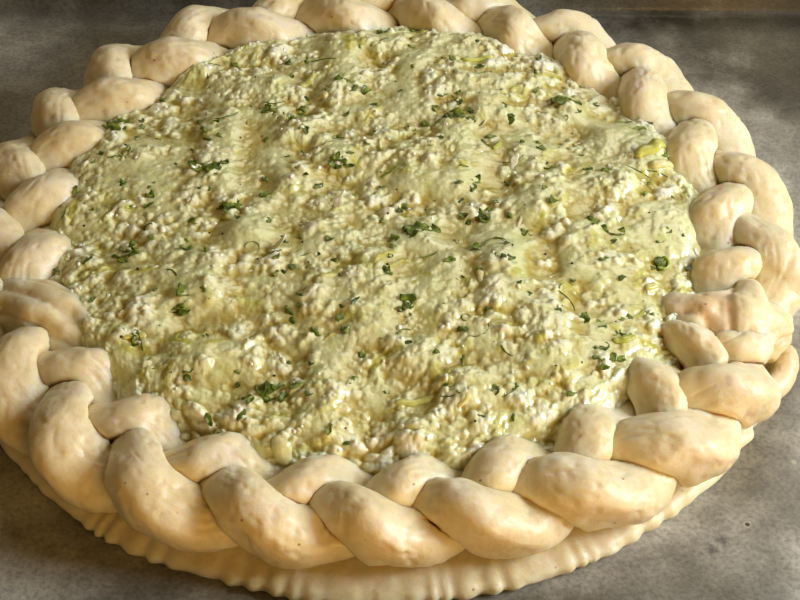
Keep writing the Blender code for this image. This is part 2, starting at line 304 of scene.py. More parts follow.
def lattice_noise(points, size, seed):
    """Smooth noise in -1..1: random values on a lattice of cubes, eased between their corners."""
    table = np.random.default_rng(seed).uniform(-1, 1, (NOISE_CELLS,) * 3)
    cells = points / size + NOISE_SHIFT
    base = np.floor(cells).astype(int)
    share = cells - base
    share = share ** 3 * (share * (share * 6 - 15) + 10)
    total = 0
    for corner in itertools.product((0, 1), repeat=3):
        nearness = np.prod(np.where(corner, share, 1 - share), axis=-1)
        total = total + nearness * table[tuple(np.moveaxis((base + corner) % NOISE_CELLS, -1, 0))]
    return total


def layered_noise(points, layers):
    """Sum of lattice noises, each of a cell size, a height and a seed."""
    return sum(height * lattice_noise(points, size, seed) for size, height, seed in layers)


def dough_relief(points, seed):
    """How far kneaded dough stands proud: lumps of two sizes, burst bubbles and wrinkles.

    A wrinkle is a furrow along the line where a noise is nought, on the parts where another
    noise is high.
    """
    swell = layered_noise(points, ((13 * MM, 0.80 * MM, seed), (5 * MM, 0.45 * MM, seed + 1)))
    pits = np.clip(lattice_noise(points, BUBBLE_SIZE, seed + 2) - 0.35, 0, 0.4) / 0.4
    line = np.exp(-(lattice_noise(points, WRINKLE_PITCH, seed + 3) / 0.07) ** 2)
    wrinkled = np.clip(lattice_noise(points, WRINKLED_PATCH, seed + 4) * 3 - 0.3, 0, 1)
    return swell - BUBBLE_DEPTH * pits - WRINKLE_DEPTH * line * wrinkled


# Raw yeast dough, kneaded with oil: pale cream, satin where it has skinned over, and a little
# see-through at its surface. Where strands press together the crease attribute paints shade into
# the colour, warm brown, and lets less light through. Flecks of bran, 11 mm apart, are 1 mm across.
dough, dough_shader = new_material(
    "raw_yeast_dough", Roughness=0.45, IOR=1.42, Subsurface_Weight=0.7,
    Subsurface_Radius=(1.0, 0.62, 0.20), Subsurface_Scale=5 * MM, Coat_Weight=0.22, Coat_Roughness=0.30,
)
place = add_node(dough, "TexCoord", {}).outputs["Object"]
blotch, flour, grain = (
    add_node(dough, "TexNoise", {"Scale": 1 / size, "Detail": detail, "Roughness": rough},
             Vector=place).outputs["Fac"]
    for size, detail, rough in ((16 * MM, 4, 0.55), (2.4 * MM, 3, 0.6), (2.6 * MM, 4, 0.55))
)
bran = add_node(dough, "TexVoronoi", {"Scale": 1 / (11 * MM), "Randomness": 1.0}, Vector=place)
tone = layered_colour(
    dough, blotch, ((0.30, "#DDCE9F"), (0.5, "#E7DAB2"), (0.70, "#EFE5C9")),
    ((flour, ((0.32, (0.93, 0.90, 0.80, 1)), (0.55, WHITE)), 0.8),
     (bran.outputs["Distance"], ((0.028, "#8E4A10"), (0.055, WHITE)), 0.75)),
)
# Painted shade: the crease attribute darkens the colour towards warm brown in the creases.
crease = add_node(dough, "Attribute", {"attribute_name": "crease"}).outputs["Fac"]
tone = add_node(dough, "Mix", {**MULTIPLY, 7: linear("#E3A25C")}, _0=crease, _6=tone).outputs[2]
depth = add_node(dough, "MapRange", {"From Min": 0.0, "From Max": 0.25, "To Min": 0.7, "To Max": 0.0},
                 Value=crease)
skin = add_node(dough, "Bump", {"Strength": 0.40, "Distance": 0.7 * MM}, Height=grain)
feed(dough_shader, Base_Color=tone, Subsurface_Weight=depth.outputs["Result"],
     Normal=skin.outputs["Normal"])

base_low, base_high = (np.array(corner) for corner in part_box("dough_base"))
base_radius = base_high[0]
half_thick = (base_high[2] - base_low[2]) / 2
bow = np.linspace(math.pi / 2, -math.pi / 2, BASE_BOW_ROWS)
flat = np.linspace(BASE_TOP_FROM, base_radius - half_thick, BASE_TOP_ROWS, endpoint=False)
profile_r = np.concatenate([[BASE_HUB, BASE_MIDDLE], flat, base_radius + half_thick * (np.cos(bow) - 1),
                            BASE_UNDER])
profile_z = np.concatenate([np.full(len(flat) + 2, base_high[2]),
                            base_low[2] + half_thick * (1 + np.sin(bow)),
                            np.full(len(BASE_UNDER), base_low[2])])
turn = np.linspace(0, 2 * math.pi, BASE_COLUMNS, endpoint=False)
around = base_radius * stacked(np.cos(turn), np.sin(turn), 0)
presses = base_radius * turn / EDGE_PRESS_PITCH + 0.9 * lattice_noise(around, 16 * MM, 13)
firm = np.clip(0.65 + 0.9 * lattice_noise(around, 19 * MM, 14), 0, 1.2)
press = EDGE_PRESS_DEPTH * firm * (1 - np.abs(np.cos(math.pi * presses)) ** 1.5)
near_edge = np.clip((profile_r - EDGE_FROM) / (base_radius - EDGE_FROM), 0, 1)[:, None] ** 2
below = np.clip((base_high[2] - profile_z) / (2 * half_thick), 0, 1)[:, None]
pressed_in = press * (0.25 + 0.9 * np.sin(math.pi * below))
grown = profile_r[:, None] + near_edge * (layered_noise(around, BASE_WANDER) - pressed_in)
base_rings = stacked(grown * np.cos(turn), grown * np.sin(turn), profile_z[:, None])
relief = dough_relief(base_rings, 20) * near_edge * (1 - below ** 3)
dent = press * np.clip((grown - DENT_FROM) / DENT_OVER, 0, 1) * np.clip(1 - 1.6 * below, 0, 1)
rolled_thin = np.clip((grown - THIN_FROM) / THIN_OVER, 0, 1) ** 2 * np.clip(1 - below, 0, 1)
base_rings[..., 2] -= np.abs(relief) + 0.7 * dent + EDGE_THINNED * rolled_thin
add_piece("rolled_dough_base", *wrapped(base_rings), dough, "raw_dough", ["dough_base"], {"crease": 0})


# ---- Braided rim -----------------------------------------------------------------------------
# Two plaits of three dough strands each, laid on the base in half rings. The soft strands press
# one another flat where they cross, and swell out into long leaf-shaped lobes between. Pulling
# them long has drawn fine wrinkles along them.
RING_RADIUS = 131 * MM
RING_CENTRE = np.array([1.4, 1.2]) * MM
RING_HEIGHT = 11.8 * MM
SWING = 11 * MM
RISE = 5.0 * MM
STRAND_HALF_WIDTH = 12 * MM
STRAND_HALF_HEIGHT = 7.6 * MM
REAR_GAIN = 0.24
SLUMP_POWER = 2.6
LAY = (  # ring angle, how far out the ring lies in mm, width of its strands, and its lean inwards
    (-180, 2.0, 1.00, 6), (-160, 3.0, 1.05, 0), (-141, 4.0, 1.12, -7), (-125, 4.0, 1.09, -8),
    (-110, 2.5, 0.95, -8), (-95, 0.0, 0.84, -8), (-80, 0.0, 0.85, -8), (-68, 1.0, 0.92, -8),
    (-55, 3.0, 1.06, -7), (-42, 4.0, 1.12, -4), (-27, 3.5, 1.06, 0), (-10, 3.0, 1.00, 4),
    (10, 3.0, 0.97, 10), (40, 3.5, 0.97, 14), (90, 3.5, 0.97, 14), (140, 3.5, 0.97, 12),
    (160, 3.0, 0.97, 8), (180, 2.0, 1.00, 6),
)
CREASE_SHARPNESS = 14.0
TOP_STRAND_SHARE = 0.13
STRAND_SLACK = -0.03
END_TAPER = math.radians(7)
END_PINCH = 0.72
STRAND_SIDES = 72
STATION_PITCH = 0.75 * MM
STRETCH_LENGTH = 15 * MM
STRETCH_SIDES = 4.0
STRETCH_DEPTH = 0.40 * MM
STRETCH_WIDTH = 0.12
STRETCH_PATCH = 10 * MM
PALE_BELOW = 0.02
CREASE_GAIN = 2.5
FRONT_LOBES = (-161, -147, -133.5, -119.5, -104, -90, -76.5, -61.5, -46.5, -34, -23)
REAR_LOBES = (197, 182, 167, 153, 139, 122, 105, 88, 71, 56, 41, 25, 8, -7, -21)
FRONT_SPAN = (-158.0, -23.0)
REAR_SPAN = (201.0, -17.0)
FLOOR_GAP = 0.3 * MM
LOBE_NUDGES = math.radians(3) * np.linspace(-1, 1, 5)  # ring angles over which lobes are evened out
LAY_NUDGES = np.linspace(-8, 8, 9)  # the same for the ring's lay, in degrees
dough_floor = base_high[2] + FLOOR_GAP


def lobes_passed(angle, lobes):
    """How many outer lobes lie before a ring angle, evened out over a few degrees."""
    way = 1 if lobes[-1] > lobes[0] else -1
    counts = [np.interp(way * np.degrees(angle + nudge), way * np.array(lobes), range(len(lobes)))
              for nudge in LOBE_NUDGES]
    return np.mean(counts, axis=0)


def lay_at(angle):
    """How far out the ring lies, its strands' width and its lean, evened out along the ring."""
    table = np.array(LAY, float).T
    degrees = (np.degrees(angle)[..., None] + LAY_NUDGES + 180) % 360 - 180
    out, wide, lean = (np.interp(degrees, table[0], column).mean(axis=-1) for column in table[1:])
    return out * MM, wide, np.radians(lean)


def strand_sections(angle, lobes, span):
    """Cuts through a plait's three strands, as (strand, station, side, x-z), and their crease.

    A strand swings in and out as the sine of its phase and rises and falls as the sine of twice
    that. Its outline is the soft least of its own ellipse, slumped below the middle, of the
    bisectors towards the other two strands, and of the floor of dough that it lies on. The crease
    is the share that it gives up.
    """
    phase = (lobes_passed(angle, lobes) + 0.5) * 2 * math.pi / 3
    to_end = np.minimum(*(np.abs(angle - math.radians(end)) for end in span))
    open_up = np.clip(to_end / END_TAPER, 0, 1)
    pinch = END_PINCH + (1 - END_PINCH) * open_up * open_up * (3 - 2 * open_up)
    _, slim, lean = lay_at(angle)
    own_phase = phase[None, :] + 2 * math.pi / 3 * np.arange(3)[:, None]
    tall = 1 + REAR_GAIN * (1 + np.sin(angle)) / 2
    centre = stacked(SWING * pinch * slim * np.sin(own_phase),
                     RISE * tall * pinch * np.sin(2 * own_phase))
    centre[..., 1] += RING_HEIGHT * tall * (0.5 + 0.5 * pinch) - centre[..., 0] * np.sin(lean)
    turn = 2 * math.pi * np.arange(STRAND_SIDES) / STRAND_SIDES
    ray = stacked(np.cos(turn), np.sin(turn))
    half_width = STRAND_HALF_WIDTH * pinch * slim
    half_height = STRAND_HALF_HEIGHT * tall * pinch
    across = np.abs(ray[:, 0]) / half_width[:, None]
    above = 1 / np.hypot(across, ray[:, 1] / half_height[:, None])
    outlines, creases = [], []
    for k in range(3):
        depth = np.maximum(half_height, centre[k][:, 1])[:, None]
        slumped = across ** SLUMP_POWER + np.abs(ray[:, 1] / depth) ** SLUMP_POWER
        slumped = slumped ** (-1 / SLUMP_POWER)
        own = np.where(ray[:, 1] < 0, slumped, above)
        closeness = own ** -CREASE_SHARPNESS
        for other in ((k + 1) % 3, (k + 2) % 3):
            apart = centre[other] - centre[k]
            distance = np.linalg.norm(apart, axis=-1)
            share = distance * (0.5 - STRAND_SLACK) - TOP_STRAND_SHARE * apart[:, 1]
            facing = np.clip(apart @ ray.T / distance[:, None], 1e-3, None)
            closeness += (share[:, None] / facing) ** -CREASE_SHARPNESS
        down = np.clip(-ray[:, 1], 1e-3, None)
        closeness += (centre[k][:, 1][:, None] / down) ** -CREASE_SHARPNESS
        reach = closeness ** (-1 / CREASE_SHARPNESS)
        outlines.append(centre[k][:, None, :] + reach[..., None] * ray)
        creases.append(np.clip(1 - reach / own, 0, 1))
    return np.array(outlines), np.array(creases)


def from_centre(radius, angle):
    """World x and y at a distance and an angle from the ring's centre."""
    return RING_CENTRE[0] + radius * np.cos(angle), RING_CENTRE[1] + radius * np.sin(angle)


def on_ring(angle, section):
    """World points of x-z sections that stand across the ring at the given angles."""
    radius = RING_RADIUS + lay_at(angle)[0][:, None] + section[..., 0]
    return stacked(*from_centre(radius, angle[:, None]), dough_floor + section[..., 1])


def raised(rings, relief):
    """Rings of points moved outwards by a relief.

    Outwards is the cross product of a point's steps round its ring and along to the next.
    """
    around = np.roll(rings, -1, axis=-2) - np.roll(rings, 1, axis=-2)
    along = np.gradient(rings, axis=-3)
    normal = np.cross(around, along)
    normal /= np.linalg.norm(normal, axis=-1)[..., None] + 1e-12
    away = rings - rings.mean(axis=-2, keepdims=True)
    return rings + normal * np.sign(np.sum(normal * away)) * relief[..., None]


for side, lobes, span in (("front", FRONT_LOBES, FRONT_SPAN), ("rear", REAR_LOBES, REAR_SPAN)):
    stations = int(abs(math.radians(span[1] - span[0])) * RING_RADIUS / STATION_PITCH)
    angle = np.linspace(*np.radians(span), stations)
    sections, creases = strand_sections(angle, lobes, span)
    for index, letter in enumerate("abc"):
        rings = on_ring(angle, sections[index])
        unrolled = stacked(angle[:, None] * RING_RADIUS / STRETCH_LENGTH,
                           np.arange(STRAND_SIDES) / STRETCH_SIDES, 5.0 * index)
        wrinkle = np.exp(-(lattice_noise(unrolled, 1.0, 50) / STRETCH_WIDTH) ** 2)
        wrinkled = np.clip(2.2 * lattice_noise(rings, STRETCH_PATCH, 51) + 0.3, 0, 1)
        relief = dough_relief(rings, 30 + 7 * index) - STRETCH_DEPTH * wrinkle * wrinkled
        # The crease mark, where a strand gives up its share to its neighbours, paints shade into the
        # dough's colour.
        mark = np.append(np.clip((creases[index] - PALE_BELOW) * CREASE_GAIN, 0, 1), (1, 1))
        add_piece(f"{side}_plait_{letter}", *wrapped(raised(rings, relief)), dough, "raw_dough",
                  [f"{side}_strand_{letter}"], {"crease": mark})


# ---- Tucked and pinched ends -----------------------------------------------------------------
# On the left the strands' ends are folded under into a fan of soft ridges. On the right they are
# pinched together into a lumpy knot, with one loose end curled over the outside.
JOIN_STATIONS = 90
JOIN_SIDES = 96
# Paths through each end's middle: ring radius in mm, ring angle in degrees, height in mm.
FAN_PATH = ((144, -165, 13), (137, -162.5, 20), (128, -158, 24.5), (119, -151.5, 23),
            (112, -146, 16))
FAN_HALF_WIDTH, FAN_HALF_HEIGHT = 13.0 * MM, 10.5 * MM
FAN_RIDGES = {"ridges": 8, "depth": 0.15, "phase": 0.4}
FAN_SLUMP = 1.1 * MM
KNOT_PATH = ((110, -25.5, 17), (117, -24, 21), (127, -22, 22.5), (137, -20, 21.5), (146, -18.5, 17),
             (152, -18, 11))
KNOT_HALF_WIDTHS = ((0, 0.15, 0.35, 0.6, 0.85, 1), (6.5, 9, 13, 15.5, 14, 10))  # share, mm
KNOT_HALF_HEIGHT = 11.5 * MM
KNOT_BULGE, KNOT_FOLD = 2.7 * MM, 1.7 * MM
# How strongly painted shade darkens the knot's fold, and the whole curled end.
FOLD_SHADE, CURL_SHADE = 0.35, 0.15
CURL_PATH = ((147, -28.5, 7), (152.5, -26.5, 9), (155, -23.5, 9.5), (154.5, -20.5, 11.5),
             (151, -19.5, 14))
CURL_HALF_WIDTH, CURL_HALF_HEIGHT = 4.6 * MM, 4.4 * MM


def soft_path(rows):
    """A smooth path through rows of ring radius in mm, ring angle in degrees and height in mm.

    It is made of cubic pieces. The slope at a row spans its neighbours.
    """
    radius, degrees, height = np.array(rows, float).T
    knots = stacked(*from_centre(radius * MM, np.radians(degrees)), height * MM)
    slopes = np.gradient(knots, axis=0)
    place = np.linspace(0, len(knots) - 1, JOIN_STATIONS)
    piece = np.minimum(place.astype(int), len(knots) - 2)
    t = (place - piece)[:, None]
    return ((2 * t ** 3 - 3 * t ** 2 + 1) * knots[piece] + (t ** 3 - 2 * t ** 2 + t) * slopes[piece]
            + (3 * t ** 2 - 2 * t ** 3) * knots[piece + 1] + (t ** 3 - t ** 2) * slopes[piece + 1])


def swept(path, width, height, ridges=0, depth=0.0, phase=0.0):
    """Rings of a body swept along a path: ellipses across it, with rounded ridges lengthwise."""
    along = np.gradient(path, axis=0)
    along /= np.linalg.norm(along, axis=1)[:, None]
    across = np.cross(along, (0, 0, 1))
    across /= np.linalg.norm(across, axis=1)[:, None]
    up = np.cross(across, along)
    turn = np.linspace(0, 2 * math.pi, JOIN_SIDES, endpoint=False)
    x, z = np.cos(turn), np.sin(turn)
    ridge = np.abs(np.sin(ridges * np.arccos(x) / 2 + phase)) ** 0.6
    furrow = 1 - depth * (1 - ridge) * np.clip(z * 2, 0, 1)
    ring = (x * furrow)[None, :, None] * across[:, None] * width[:, None, None]
    return path[:, None] + ring + (z * furrow)[None, :, None] * up[:, None] * height[:, None, None]


share = np.linspace(0, 1, JOIN_STATIONS)
round_off = np.sqrt(np.clip(1 - (2 * share - 1) ** 4, 0.0004, 1))
rings = swept(soft_path(FAN_PATH), FAN_HALF_WIDTH * round_off, FAN_HALF_HEIGHT * round_off,
              **FAN_RIDGES)
slump = FAN_SLUMP * lattice_noise(rings, 8 * MM, 61) + 0.7 * dough_relief(rings, 60)
add_piece("tucked_end", *wrapped(raised(rings, slump)), dough, "raw_dough", ["braid_end_left"],
          {"crease": 0})

knot_width = np.interp(share, *KNOT_HALF_WIDTHS) * MM
rings = swept(soft_path(KNOT_PATH), knot_width * round_off, KNOT_HALF_HEIGHT * round_off)
rings[..., 2] = np.maximum(rings[..., 2], dough_floor)
fold = np.exp(-(lattice_noise(rings, 15 * MM, 72) / 0.10) ** 2)
bulge = KNOT_BULGE * lattice_noise(rings, 9.5 * MM, 71) - KNOT_FOLD * fold
bulge += 1.2 * dough_relief(rings, 70)
add_piece("pinched_knot", *wrapped(raised(rings, bulge)), dough, "raw_dough", ["braid_end_right"],
          {"crease": FOLD_SHADE * fold})

# The last strand's end is left loose beside the knot, and curls up at its tip.
rings = swept(soft_path(CURL_PATH), CURL_HALF_WIDTH * round_off, CURL_HALF_HEIGHT * round_off)
rings = raised(rings, 0.6 * dough_relief(rings, 75))
# A little painted shade darkens the whole curled end.
add_piece("curled_end", *wrapped(rings), dough, "raw_dough", marks={"crease": CURL_SHADE})


# ---- Filling ---------------------------------------------------------------------------------
# Grated zucchini stirred into curd cheese, egg and cream, heaped inside the rim and spread with
# a spoon. Curds stand up out of smooth cream that has settled between them.
FILLING_CELLS = 600
FILLING_EDGE = 120.5 * MM
FILLING_PEAK = 37.2 * MM
SHOULDER, SHOULDER_LEAN = 31.0 * MM, 1.8 * MM  # height of the heap's edge, and its rise to the rear
FOOT_FROM, FOOT_OVER = 0.90, 0.145  # shares of the heap's radius
FOOT_DROP, FOOT_POWER = 12 * MM, 1.9
FOOT_SHARE = 1.045
STROKE_HEADING = math.radians(38)
BUMP_TABLE = 160
BUMP_MERGE = 4.5
BIG_LUMPS = (9.0 * MM, 2.4 * MM, 1.2, 88)  # pitch, height, steepness and seed
SMALL_LUMPS = (4.6 * MM, 1.35 * MM, 0.9, 89)
BIG_GRAINS = (2.7 * MM, 0.50 * MM, 0.7, 90)
SMALL_GRAINS = (1.6 * MM, 0.20 * MM, 0.7, 91)
FOOT_WANDER = ((22 * MM, 1.6 * MM, 80), (7 * MM, 0.9 * MM, 81))  # size, height and seed
SWELLS = ((34 * MM, 1.7 * MM, 82), (15 * MM, 2.5 * MM, 83))
STROKE_WARP = ((9 * MM, 1.6 * MM, 84), (3.5 * MM, 0.5 * MM, 85))
CLUSTERS = ((17 * MM, 0.55, 86), (7 * MM, 0.4, 87))
CREAM_WAVES = ((13 * MM, 0.8, 92), (4 * MM, 0.3, 93))
CREAM_SOFTNESS = 0.30 * MM
MEAN_LEVEL = 2.9 * MM
FULL_CURD = 3.6 * MM
BURIED_STRIPS = 190
HOLLOW_DEPTH = 0.55 * MM
LAP_DIP = 0.012 * MM
SEE_THROUGH = 0.45


def curd_caps(x, y, pitch, height, steep, seed):
    """Soft sum of round bumps, one in each square of the pitch, moved and sized at random."""
    moved_x, moved_y, size, rise = np.random.default_rng(seed).random((4, BUMP_TABLE, BUMP_TABLE))
    rise = 0.35 + 0.65 * rise
    column, row = np.floor(x / pitch).astype(int), np.floor(y / pitch).astype(int)
    top = np.zeros_like(x)
    for i, j in itertools.product((-1, 0, 1), repeat=2):
        cell = (column + i) % BUMP_TABLE, (row + j) % BUMP_TABLE
        off_x = x / pitch - (column + i + 0.1 + 0.8 * moved_x[cell])
        off_y = y / pitch - (row + j + 0.1 + 0.8 * moved_y[cell])
        near = np.clip(1 - (off_x ** 2 + off_y ** 2) / (0.40 + 0.42 * size[cell]) ** 2, 0, 1)
        top += (rise[cell] * near ** steep) ** BUMP_MERGE
    return height * top ** (1 / BUMP_MERGE)


def filling_edge(angle):
    """Radius of the heap's foot round the ring's centre."""
    around = FILLING_EDGE * stacked(np.cos(angle), np.sin(angle), 0)
    return FILLING_EDGE + lay_at(angle)[0] * 0.8 + layered_noise(around, FOOT_WANDER)


def buried_strips(x, y):
    """Height and tint that strips of zucchini give the filling from under a film of cream.

    A strip is a bent capsule. Across it and along it the share left of one, less the square of
    the distance over its half size, gives how strongly it shows.
    """
    random = np.random.default_rng(94)
    count = BURIED_STRIPS
    angle = random.uniform(0, 2 * math.pi, count)
    radius = 0.97 * FILLING_EDGE * np.sqrt(random.random(count))
    heading = STROKE_HEADING + random.normal(0, 0.75, count)
    half_long = random.uniform(2.5, 8.5, count) * MM
    half_wide = random.uniform(1.2, 3.0, count) * MM
    bend = random.normal(0, 0.03, count) / MM
    thick = random.uniform(0.3, 0.9, count) * MM
    ripe = random.uniform(0.25, 1.0, count)
    height, tint = np.zeros_like(x), np.zeros_like(x)
    for k in range(count):
        off_x = x - RING_CENTRE[0] - radius[k] * math.cos(angle[k])
        off_y = y - RING_CENTRE[1] - radius[k] * math.sin(angle[k])
        near = off_x ** 2 + off_y ** 2 < (half_long[k] * 1.1) ** 2
        cos, sin = math.cos(heading[k]), math.sin(heading[k])
        along = (off_x[near] * cos + off_y[near] * sin) / half_long[k]
        across = off_y[near] * cos - off_x[near] * sin
        across = (across - bend[k] * (along * half_long[k]) ** 2) / half_wide[k]
        shows = np.clip(1 - along ** 4, 0, 1) * np.clip(1 - across ** 2, 0, 1)
        height[near] = np.maximum(height[near], thick[k] * shows ** 0.8)
        tint[near] = np.maximum(tint[near], np.clip(shows * 1.6, 0, 1) * ripe[k])
    return height, tint


def filling_top(x, y):
    """Height of the filling, how far its curds stand over the cream, its zucchini tint and bulge.

    A dome that rounds down to its foot, with broad swells. Bumps of four sizes, drawn out along
    the spoon's strokes, stand on it in clusters. Cream fills what lies below its own level. On
    the steep foot the bumps are spaced along the slope and bulge outwards.
    """
    angle = np.arctan2(y - RING_CENTRE[1], x - RING_CENTRE[0])
    share = np.hypot(x - RING_CENTRE[0], y - RING_CENTRE[1]) / filling_edge(angle)
    edge = SHOULDER + SHOULDER_LEAN * np.sin(angle)
    drop = FOOT_DROP * np.clip((share - FOOT_FROM) / FOOT_OVER, 0, 1) ** FOOT_POWER
    dome = edge + (FILLING_PEAK - edge) * (1 - np.clip(share, 0, 1) ** 3) - drop
    x, y = x + drop * np.cos(angle), y + drop * np.sin(angle)
    flat = stacked(x, y, 0)
    dome += layered_noise(flat, SWELLS)
    warp = layered_noise(flat, STROKE_WARP)
    along = x * math.cos(STROKE_HEADING) + y * math.sin(STROKE_HEADING) + warp
    across = y * math.cos(STROKE_HEADING) - x * math.sin(STROKE_HEADING) + warp
    near_rim = np.clip((share - 0.78) / 0.15, 0, 1)
    cluster = np.clip(0.72 + 0.15 * near_rim + layered_noise(flat, CLUSTERS), 0, 1)
    lumps = curd_caps(along / 1.25, across, *BIG_LUMPS) * (0.35 + 0.65 * cluster)
    lumps += curd_caps(along / 1.15, across, *SMALL_LUMPS) * (0.4 + 0.6 * cluster)
    grains = curd_caps(x, y, *BIG_GRAINS) * (0.5 + 0.5 * cluster)
    grains += curd_caps(y, x, *SMALL_GRAINS) * (0.7 + 0.3 * cluster)
    strip, tint = buried_strips(x, y)
    curds = (lumps + grains) * (1 - 0.4 * tint) + strip
    cream = (1.05 - 0.6 * near_rim + layered_noise(flat, CREAM_WAVES)) * MM
    merged = CREAM_SOFTNESS * np.logaddexp(0, (curds - cream) / CREAM_SOFTNESS)
    level = cream + merged + 0.42 * grains
    rise = level - MEAN_LEVEL
    steep = np.clip((share - 0.93) / 0.10, 0, 1)
    return (dome + rise * (1 - 0.3 * steep), (level - cream) / FULL_CURD,
            tint * np.clip((level - cream) / (0.5 * MM), 0, 1), 1.1 * rise * steep)


def hollows(height, cells):
    """How far each point of a grid lies below the mean of eight points some cells away, 0 to 1."""
    mean = sum(np.roll(height, (i * cells, j * cells), (0, 1))
               for i, j in ((1, 0), (-1, 0), (0, 1), (0, -1), (1, 1), (-1, -1), (1, -1), (-1, 1))) / 8
    return np.clip((mean - height) / HOLLOW_DEPTH, 0, 1)


side = np.linspace(-1, 1, FILLING_CELLS + 1) + 1e-9
u, v = np.meshgrid(side, side)
wide = np.abs(u) > np.abs(v)
out = np.where(wide, u, v)
angle = np.where(wide, math.pi / 4 * v / u, math.pi / 2 - math.pi / 4 * u / v)
angle += np.where(out < 0, math.pi, 0)
radius = np.abs(out) * (1.16 - 0.16 * out * out) * filling_edge(angle) * FOOT_SHARE
x, y = from_centre(radius, angle)
height, curd, tint, bulge = filling_top(x, y)
x, y = x + bulge * np.cos(angle), y + bulge * np.sin(angle)
# Painted shade: how far each point lies in a hollow among the curds, to tint it ochre.
whey = np.clip(0.5 * hollows(height, 5) + 0.45 * hollows(height, 12), 0, 1)
grid = stacked(x, y, height)


def heap_part(grid):
    """Points and faces of a closed body: a grid on top, straight sides, and a fan underneath."""
    index = np.arange(grid.shape[0] * grid.shape[1]).reshape(grid.shape[:2])
    quads = stacked(index[:-1, :-1], index[:-1, 1:], index[1:, 1:], index[1:, :-1]).reshape(-1, 4)
    rim = np.concatenate([index[0, :-1], index[:-1, -1], index[-1, :0:-1], index[:0:-1, 0]])
    top = grid.reshape(-1, 3)
    low = stacked(*top[rim, :2].T, dough_floor)
    points = np.concatenate([top, low, [[*grid.mean(axis=(0, 1))[:2], dough_floor]]])
    below = index.size + np.arange(len(rim))
    skirt = stacked(np.roll(rim, -1), rim, below, np.roll(below, -1))
    under = stacked(len(points) - 1, np.roll(below, -1), below)
    return points, [quads, skirt, under]


# Curd cheese in cream and egg: wet, so it glints. The cream is pale yellow-green, the curds are
# whiter, strips of zucchini tint it, and painted shade tints the hollows ochre.
cheese, cheese_shader = new_material(
    "wet_curd_and_cream", Roughness=0.40, IOR=1.40, Subsurface_Weight=SEE_THROUGH,
    Subsurface_Radius=(1.0, 0.85, 0.35), Subsurface_Scale=1.6 * MM, Coat_Weight=0.9,
    Coat_Roughness=0.09,
)
place = add_node(cheese, "TexCoord", {}).outputs["Object"]
raised, strip, sunk, thin = (
    add_node(cheese, "Attribute", {"attribute_name": mark}).outputs["Fac"]
    for mark in ("curd", "zucchini", "whey", "see_through")
)
drift, lumps = (
    add_node(cheese, "TexNoise", {"Scale": 1 / size, "Detail": detail, "Roughness": rough},
             Vector=place).outputs["Fac"]
    for size, detail, rough in ((12 * MM, 4, 0.6), (1.4 * MM, 3, 0.5))
)
tone = layered_colour(
    cheese, raised, ((0.0, "#DCDDA5"), (0.25, "#E3E4B2"), (0.5, "#EDEECB"), (0.8, "#F5F5E2")),
    ((drift, ((0.34, (0.93, 0.98, 0.78, 1)), (0.52, WHITE), (0.68, (1.0, 0.965, 0.80, 1))), 0.75),),
)
# Strips of zucchini tint the colour, and painted shade tints the hollows ochre.
for mark, tint_colour in ((strip, "#DDD67C"), (sunk, "#D0B663")):
    tone = add_node(cheese, "Mix", {**MULTIPLY, 7: linear(tint_colour)}, _0=mark, _6=tone).outputs[2]
grainy = add_node(cheese, "Bump", {"Strength": 0.55, "Distance": 0.4 * MM}, Height=lumps)
feed(cheese_shader, Base_Color=tone, Normal=grainy.outputs["Normal"], Subsurface_Weight=thin)

# The heap is made as four bodies that lap each other by a hair. Light that goes through the wet
# surface would show the joints, so there it fades to nought over six rows.
quarter = FILLING_CELLS // 4
from_joint = np.abs((np.arange(FILLING_CELLS + 1) - 0.5 + quarter / 2) % quarter - quarter / 2)
joint = SEE_THROUGH * np.clip(from_joint / 6 - 0.4, 0, 1)[:, None] * np.ones(FILLING_CELLS + 1)
grids = {"curd": curd, "whey": whey, "zucchini": tint, "see_through": joint}
for k, name in enumerate(("filling_front", "filling_near", "filling_far", "filling_rear")):
    rows = slice(max(k * quarter - 1, 0), (k + 1) * quarter + (3 if k < 3 else 1))
    part = grid[rows].copy()
    if k:
        part[:2, :, 2] -= LAP_DIP * np.array([[2], [1]])
    if k < 3:
        part[-2:, :, 2] -= LAP_DIP * np.array([[1], [2]])
    add_piece(name, *heap_part(part), cheese, "cheese_filling", ["filling"],
              {mark: values[rows] for mark, values in grids.items()}, smooth_blocks=1)


# ---- Loose curds -----------------------------------------------------------------------------
# Crumbs of curd that stand clear of the cream, 1 to 4 mm across, heaped where curds cluster. Each
# is a small ball, stretched, dented by noise, and sunk to over half its height.
CURDS = 260
CURD_REACH = 0.955
CURD_SUNK = 0.62
BARE_CURD = {"whey": 0, "zucchini": 0, "see_through": SEE_THROUGH}


def scattered(count, reach, seed):
    """Random places on the filling within a share of its radius, even over its area."""
    random = np.random.default_rng(seed)
    angle = random.uniform(0, 2 * math.pi, count)
    radius = reach * np.sqrt(random.random(count)) * filling_edge(angle)
    return from_centre(radius, angle)


def ball_rings(rows, sides):
    """Rings of a unit ball, from near its top to near its bottom."""
    latitude = (math.pi * (np.arange(rows) + 0.5) / rows)[:, None]
    turn = 2 * math.pi * np.arange(sides) / sides
    return stacked(np.sin(latitude) * np.cos(turn), np.sin(latitude) * np.sin(turn), np.cos(latitude))


